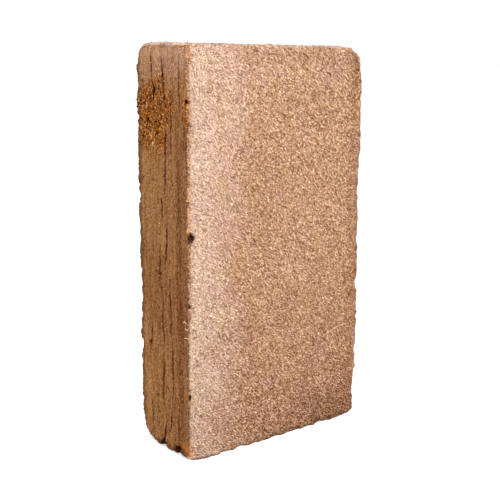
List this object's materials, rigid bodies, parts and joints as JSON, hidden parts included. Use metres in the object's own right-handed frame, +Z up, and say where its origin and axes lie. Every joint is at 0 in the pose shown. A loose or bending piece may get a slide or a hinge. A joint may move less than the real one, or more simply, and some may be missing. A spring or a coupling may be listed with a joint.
{
  "type": "pressed coconut coir brick",
  "caption": "Upright rectangular brick of pressed coconut coir with crumbly edges, worn corners and layer cracks along its narrow sides.",
  "frame": {"origin": "under the middle of the brick, on the short end that it stands on", "axes": "+Z up along the brick's length, +Y through its thickness away from the pictured broad face, +X across its width away from the pictured narrow side"},
  "size_m": [0.11, 0.045, 0.2],
  "materials": {
    "coir": "dry, matt, fibrous pressed coir"
  },
  "bodies": {
    "root": {"coir_brick": "coir"}
  },
  "joints": []
}
